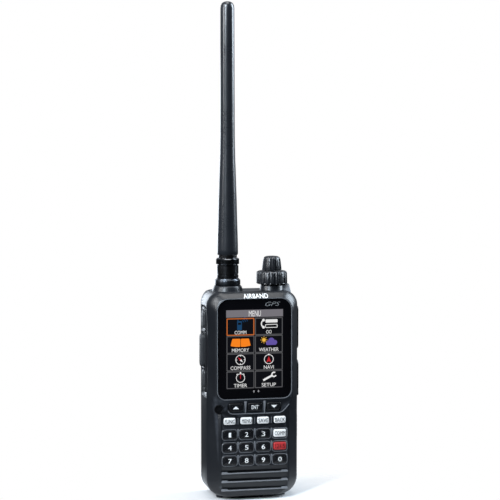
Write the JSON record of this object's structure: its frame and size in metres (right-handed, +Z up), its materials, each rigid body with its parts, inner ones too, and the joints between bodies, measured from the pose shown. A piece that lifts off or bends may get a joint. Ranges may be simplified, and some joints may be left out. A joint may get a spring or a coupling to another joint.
{
  "type": "handheld aviation radio",
  "caption": "Handheld radio with a colour display, full keypad, concentric top knobs, tall antenna on a bayonet connector and a clip-on battery",
  "frame": {"origin": "middle of the foot pad under the case, on the surface the radio stands on", "axes": "+Z up along the body and the antenna, -Y out of the display, +X to the right seen from the front"},
  "size_m": [0.062, 0.0359, 0.3079],
  "materials": {
    "case_plastic": "fine textured moulded polycarbonate, satin charcoal",
    "chassis_metal": "die-cast aluminium, fine black powder coat",
    "seal_rubber": "matt silicone",
    "window_glass": "hard-coated glossy black window",
    "display_face": "lit colour display behind the window",
    "silicone": "matt silicone mat",
    "circuit_board": "green solder mask",
    "tinned_steel": "bright tinned sheet",
    "ceramic": "glazed ceramic patch",
    "speaker_black": "matt black",
    "zinc_steel": "zinc plated, satin",
    "nickel": "nickel plated, turned",
    "connector_dark": "black chrome over brass, turned",
    "socket_plastic": "black moulded",
    "cover_plastic": "black moulded, satin",
    "screw_steel": "blackened steel",
    "gold_contact": "gold flash",
    "insert_brass": "turned brass",
    "knob_plastic": "satin black moulded, ribbed grip",
    "antenna_rubber": "satin thermoplastic rubber over the radiator",
    "side_key_rubber": "matt textured rubber",
    "battery_plastic": "satin textured moulded shell",
    "cell_wrap": "foil pouch cells",
    "flap_rubber": "matt soft rubber",
    "key_black": "black keycap with white print",
    "key_white": "white keycap, satin",
    "key_red": "red keycap, satin"
  },
  "bodies": {
    "radio": {"front_case": "case_plastic", "rear_chassis": "chassis_metal", "case_seal": "seal_rubber", "window_lens": "window_glass", "display_module": "display_face", "keypad_mat": "silicone", "keypad_board": "circuit_board", "main_board": "circuit_board", "shield_can": "tinned_steel", "gps_patch": "ceramic", "speaker": "speaker_black", "speaker_mesh": "speaker_black", "microphone": "speaker_black", "control_pot": "zinc_steel", "control_nut": "zinc_steel", "antenna_jack": "nickel", "jack_collar": "connector_dark", "side_key_frame": "case_plastic", "side_switch_board": "circuit_board", "accessory_jack": "socket_plastic", "accessory_cover": "cover_plastic", "dc_jack": "socket_plastic", "case_screws": "screw_steel", "contact_springs": "gold_contact", "clip_inserts": "insert_brass"},
    "volume": {"volume_knob": "knob_plastic", "volume_shaft": "zinc_steel"},
    "channel": {"channel_ring": "knob_plastic", "channel_shaft": "zinc_steel"},
    "antenna": {"antenna_whip": "antenna_rubber", "antenna_plug": "nickel"},
    "bayonet": {"bayonet_sleeve": "connector_dark"},
    "battery": {"battery_case": "battery_plastic", "battery_cover": "battery_plastic", "battery_cells": "cell_wrap", "battery_terminals": "gold_contact"},
    "latch": {"battery_latch": "cover_plastic"},
    "flap": {"dc_flap": "flap_rubber"},
    "talk_key": {"ptt_button": "side_key_rubber"},
    "monitor": {"monitor_key": "side_key_rubber"},
    "lamp": {"lamp_key": "side_key_rubber"},
    "key_func": {"key_func": "key_white"},
    "key_menu": {"key_menu": "key_white"},
    "key_save": {"key_save": "key_white"},
    "key_back": {"key_back": "key_white"},
    "key_up": {"key_up": "key_black"},
    "key_enter": {"key_enter": "key_black"},
    "key_down": {"key_down": "key_black"},
    "key_7": {"key_7": "key_black"},
    "key_8": {"key_8": "key_black"},
    "key_9": {"key_9": "key_black"},
    "key_0": {"key_0": "key_black"},
    "key_4": {"key_4": "key_black"},
    "key_5": {"key_5": "key_black"},
    "key_6": {"key_6": "key_black"},
    "key_emergency": {"key_emergency": "key_red"},
    "key_1": {"key_1": "key_black"},
    "key_2": {"key_2": "key_black"},
    "key_3": {"key_3": "key_black"},
    "key_comm": {"key_comm": "key_white"}
  },
  "joints": [
    {"name": "ptt_press", "type": "slide", "parent": "radio", "child": "talk_key", "axis": [1, 0, 0], "range_m": [0, 0.0012], "stiffness_N_per_m": 1500},
    {"name": "volume_turn", "type": "hinge", "parent": "radio", "child": "volume", "pos_m": [0.0144, -0.002, 0.146], "axis": [0, 0, -1], "range_deg": [0, 280]},
    {"name": "channel_turn", "type": "hinge", "parent": "radio", "child": "channel", "pos_m": [0.0144, -0.002, 0.137], "axis": [0, 0, -1], "continuous": true},
    {"name": "antenna_lift", "type": "slide", "parent": "radio", "child": "antenna", "axis": [0, 0, 1], "range_m": [0, 0.02]},
    {"name": "bayonet_turn", "type": "hinge", "parent": "antenna", "child": "bayonet", "pos_m": [-0.0138, -0.002, 0.145], "axis": [0, 0, 1], "range_deg": [0, 90]},
    {"name": "battery_remove", "type": "slide", "parent": "radio", "child": "battery", "axis": [0, 1, 0], "range_m": [0, 0.035]},
    {"name": "latch_slide", "type": "slide", "parent": "battery", "child": "latch", "axis": [0, 1, 0], "range_m": [0, 0.0025], "stiffness_N_per_m": 800},
    {"name": "flap_open", "type": "hinge", "parent": "radio", "child": "flap", "pos_m": [0.02995, -0.0025, 0.06325], "axis": [0, 1, 0], "range_deg": [0, 100]},
    {"name": "monitor_press", "type": "slide", "parent": "radio", "child": "monitor", "axis": [1, 0, 0], "range_m": [0, 0.0006], "stiffness_N_per_m": 2000},
    {"name": "lamp_press", "type": "slide", "parent": "radio", "child": "lamp", "axis": [1, 0, 0], "range_m": [0, 0.0006], "stiffness_N_per_m": 2000},
    {"name": "key_func_press", "type": "slide", "parent": "radio", "child": "key_func", "axis": [0, 1, 0], "range_m": [0, 0.0008], "stiffness_N_per_m": 1000},
    {"name": "key_menu_press", "type": "slide", "parent": "radio", "child": "key_menu", "axis": [0, 1, 0], "range_m": [0, 0.0008], "stiffness_N_per_m": 1000},
    {"name": "key_save_press", "type": "slide", "parent": "radio", "child": "key_save", "axis": [0, 1, 0], "range_m": [0, 0.0008], "stiffness_N_per_m": 1000},
    {"name": "key_back_press", "type": "slide", "parent": "radio", "child": "key_back", "axis": [0, 1, 0], "range_m": [0, 0.0008], "stiffness_N_per_m": 1000},
    {"name": "key_up_press", "type": "slide", "parent": "radio", "child": "key_up", "axis": [0, 1, 0], "range_m": [0, 0.0008], "stiffness_N_per_m": 1000},
    {"name": "key_enter_press", "type": "slide", "parent": "radio", "child": "key_enter", "axis": [0, 1, 0], "range_m": [0, 0.0008], "stiffness_N_per_m": 1000},
    {"name": "key_down_press", "type": "slide", "parent": "radio", "child": "key_down", "axis": [0, 1, 0], "range_m": [0, 0.0008], "stiffness_N_per_m": 1000},
    {"name": "key_7_press", "type": "slide", "parent": "radio", "child": "key_7", "axis": [0, 1, 0], "range_m": [0, 0.0008], "stiffness_N_per_m": 1000},
    {"name": "key_8_press", "type": "slide", "parent": "radio", "child": "key_8", "axis": [0, 1, 0], "range_m": [0, 0.0008], "stiffness_N_per_m": 1000},
    {"name": "key_9_press", "type": "slide", "parent": "radio", "child": "key_9", "axis": [0, 1, 0], "range_m": [0, 0.0008], "stiffness_N_per_m": 1000},
    {"name": "key_0_press", "type": "slide", "parent": "radio", "child": "key_0", "axis": [0, 1, 0], "range_m": [0, 0.0008], "stiffness_N_per_m": 1000},
    {"name": "key_4_press", "type": "slide", "parent": "radio", "child": "key_4", "axis": [0, 1, 0], "range_m": [0, 0.0008], "stiffness_N_per_m": 1000},
    {"name": "key_5_press", "type": "slide", "parent": "radio", "child": "key_5", "axis": [0, 1, 0], "range_m": [0, 0.0008], "stiffness_N_per_m": 1000},
    {"name": "key_6_press", "type": "slide", "parent": "radio", "child": "key_6", "axis": [0, 1, 0], "range_m": [0, 0.0008], "stiffness_N_per_m": 1000},
    {"name": "key_emergency_press", "type": "slide", "parent": "radio", "child": "key_emergency", "axis": [0, 1, 0], "range_m": [0, 0.0008], "stiffness_N_per_m": 1000},
    {"name": "key_1_press", "type": "slide", "parent": "radio", "child": "key_1", "axis": [0, 1, 0], "range_m": [0, 0.0008], "stiffness_N_per_m": 1000},
    {"name": "key_2_press", "type": "slide", "parent": "radio", "child": "key_2", "axis": [0, 1, 0], "range_m": [0, 0.0008], "stiffness_N_per_m": 1000},
    {"name": "key_3_press", "type": "slide", "parent": "radio", "child": "key_3", "axis": [0, 1, 0], "range_m": [0, 0.0008], "stiffness_N_per_m": 1000},
    {"name": "key_comm_press", "type": "slide", "parent": "radio", "child": "key_comm", "axis": [0, 1, 0], "range_m": [0, 0.0008], "stiffness_N_per_m": 1000}
  ]
}
